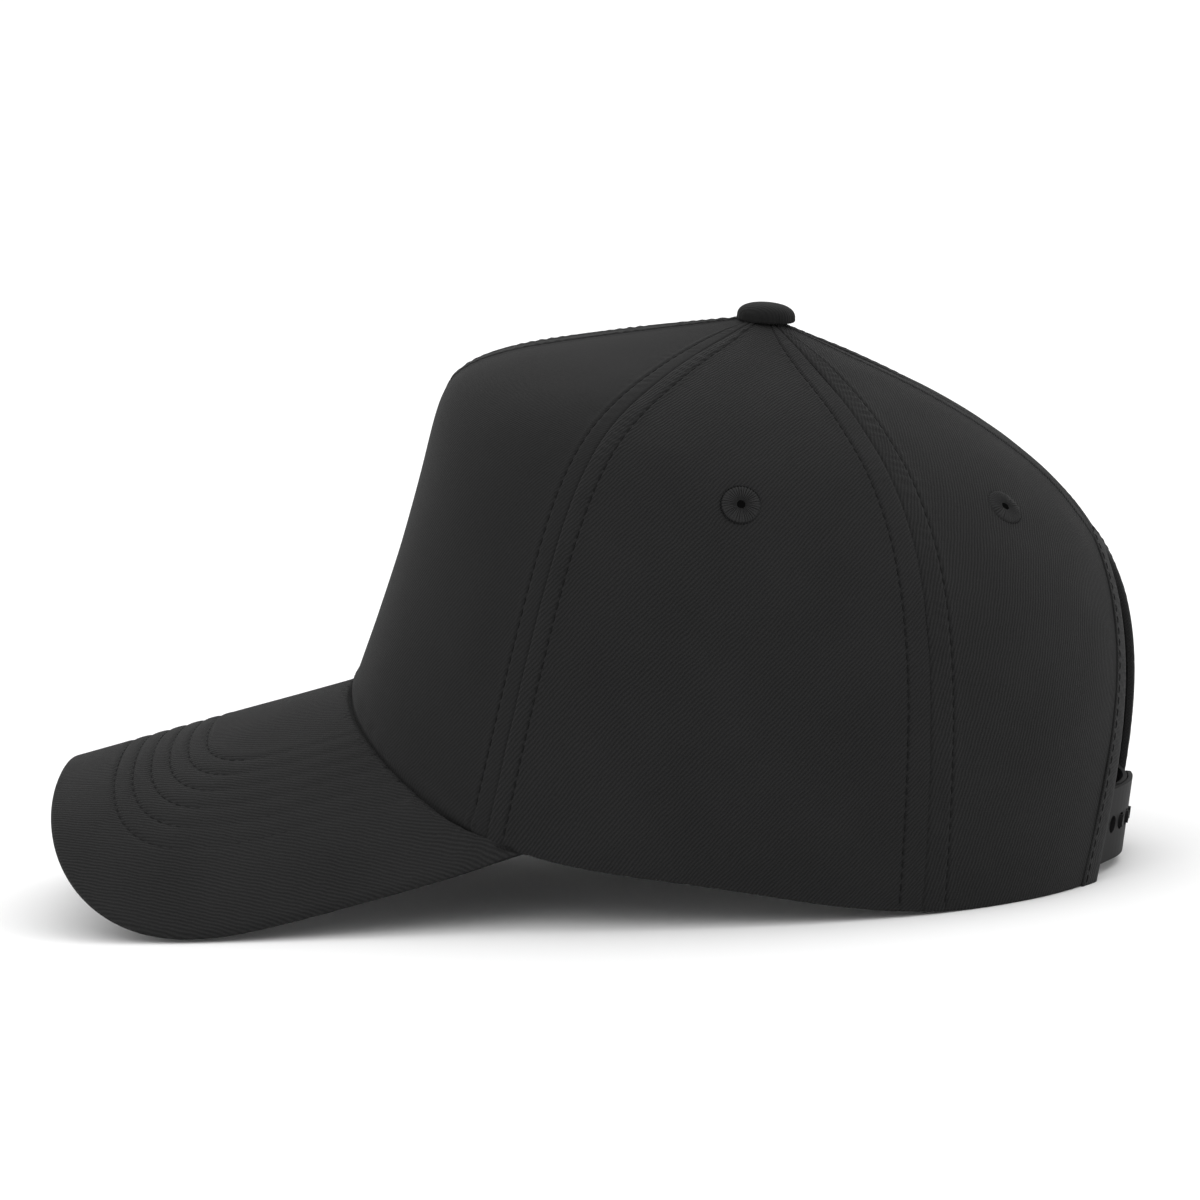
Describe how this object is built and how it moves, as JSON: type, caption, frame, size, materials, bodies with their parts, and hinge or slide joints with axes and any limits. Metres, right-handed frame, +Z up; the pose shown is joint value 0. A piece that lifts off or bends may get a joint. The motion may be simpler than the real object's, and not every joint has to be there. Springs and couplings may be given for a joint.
{
  "type": "baseball cap",
  "caption": "Structured five-panel baseball cap in black twill, with a pre-curved stitched visor, sewn eyelets, a covered button and a plastic snap closure across the arched back opening.",
  "frame": {"origin": "on the table, under the middle of the cap's whole length and width", "axes": "+Z up, -Y the way the visor points, +X the wearer's left; the cap is symmetric about X = 0 apart from its two straps"},
  "size_m": [0.1654, 0.2752, 0.1468],
  "materials": {
    "crown_twill": "matt cotton twill with a fine diagonal rib",
    "visor_twill": "matt cotton twill, stretched over a board and stitched in rows",
    "seam_tape": "woven tape",
    "binding": "folded twill tape",
    "buckram": "stiff open weave",
    "sweatband": "plain cotton",
    "foam": "soft foam",
    "board": "plain board",
    "thread": "wound embroidery thread with a slight sheen",
    "snap_plastic": "moulded, satin",
    "steel": "plain"
  },
  "bodies": {
    "cap": {"front_panel": "crown_twill", "left_side_panel": "crown_twill", "left_back_panel": "crown_twill", "right_side_panel": "crown_twill", "right_back_panel": "crown_twill", "left_front_seam_tape": "seam_tape", "left_back_seam_tape": "seam_tape", "right_front_seam_tape": "seam_tape", "right_back_seam_tape": "seam_tape", "front_buckram": "buckram", "dart_tape": "seam_tape", "centre_back_tape": "seam_tape", "arch_binding": "binding", "sweatband": "sweatband", "sweatband_foam": "foam", "visor_top_cover": "visor_twill", "visor_board": "board", "visor_bottom_cover": "visor_twill", "left_side_eyelet": "thread", "left_back_eyelet": "thread", "right_side_eyelet": "thread", "right_back_eyelet": "thread", "button_cover": "crown_twill", "button_core": "steel", "button_washer": "steel", "hole_strap_tab": "snap_plastic", "peg_strap_tab": "snap_plastic"},
    "hole_strap": {"hole_strap": "snap_plastic"},
    "peg_strap": {"peg_strap": "snap_plastic"}
  },
  "joints": [
    {"name": "hole_strap_hinge", "type": "hinge", "parent": "cap", "child": "hole_strap", "pos_m": [0.02672, 0.12854, 0.01224], "axis": [-0.0422, -0.169, -0.9847], "range_deg": [0, 50], "stiffness_Nm_per_rad": 0.01},
    {"name": "peg_strap_hinge", "type": "hinge", "parent": "cap", "child": "peg_strap", "pos_m": [-0.02672, 0.12854, 0.01224], "axis": [0.0422, -0.169, -0.9847], "range_deg": [0, 40], "stiffness_Nm_per_rad": 0.01}
  ]
}
